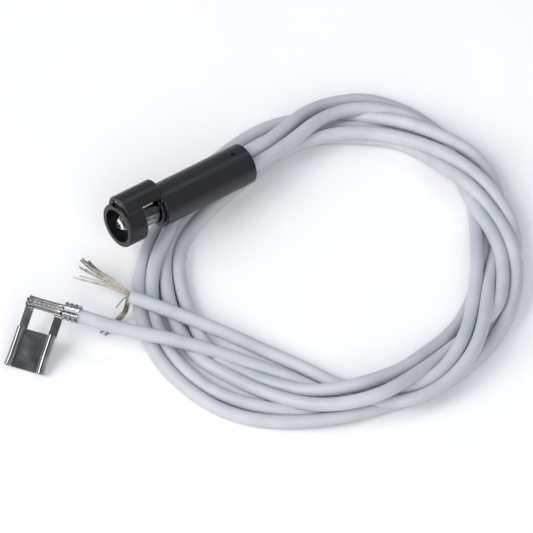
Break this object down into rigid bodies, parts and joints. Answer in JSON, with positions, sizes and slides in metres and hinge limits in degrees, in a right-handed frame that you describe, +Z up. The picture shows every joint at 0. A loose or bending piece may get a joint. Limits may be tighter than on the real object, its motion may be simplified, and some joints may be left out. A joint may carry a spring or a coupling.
{
  "type": "flame sensor probe",
  "caption": "Boiler flame sensor: moulded probe with a glass sensor tube behind a side window, and two coiled silicone cables ending in a flag receptacle and bare strands.",
  "frame": {"origin": "centre of the hood's annular front face, on the probe's axis", "axes": "+Z up; the probe's axis lies in the XZ plane and points to +X, 6.6 degrees nose up, because its nose rests on the coil"},
  "size_m": [0.1137, 0.0822, 0.0176],
  "materials": {
    "black_moulding": "moulded, glossy",
    "clip_metal": "nickel-plated strip",
    "sensor_glass": "clear",
    "electrode_metal": "bright nickel",
    "silicone_cable": "satin silicone",
    "silicone_ring": "satin silicone",
    "socket_moulding": "matt",
    "shrunk_sleeve": "matt",
    "plug_rubber": "matt",
    "tinned_brass": "tin-plated, bright",
    "tinned_copper": "tinned, bright"
  },
  "bodies": {
    "root": {"body_tube": "black_moulding", "view_head": "black_moulding", "retaining_clip": "clip_metal", "clip_pin": "clip_metal", "bulb_glass": "sensor_glass", "bulb_stem": "sensor_glass", "cathode_plate": "electrode_metal", "anode_plate": "electrode_metal", "lead_in_pins": "electrode_metal", "bulb_cushion": "silicone_ring", "tube_socket": "socket_moulding", "crimp_sleeves": "electrode_metal", "insulating_sleeves": "shrunk_sleeve", "inner_conductors": "tinned_copper", "rear_plug": "plug_rubber", "rear_plug_pin": "black_moulding", "cable_a_lead": "silicone_cable", "cable_b_lead": "silicone_cable", "cable_coil": "silicone_cable", "cable_a_tail": "silicone_cable", "cable_b_tail": "silicone_cable", "flag_terminal": "tinned_brass", "terminal_conductor": "tinned_copper", "bare_strands": "tinned_copper"}
  },
  "joints": []
}
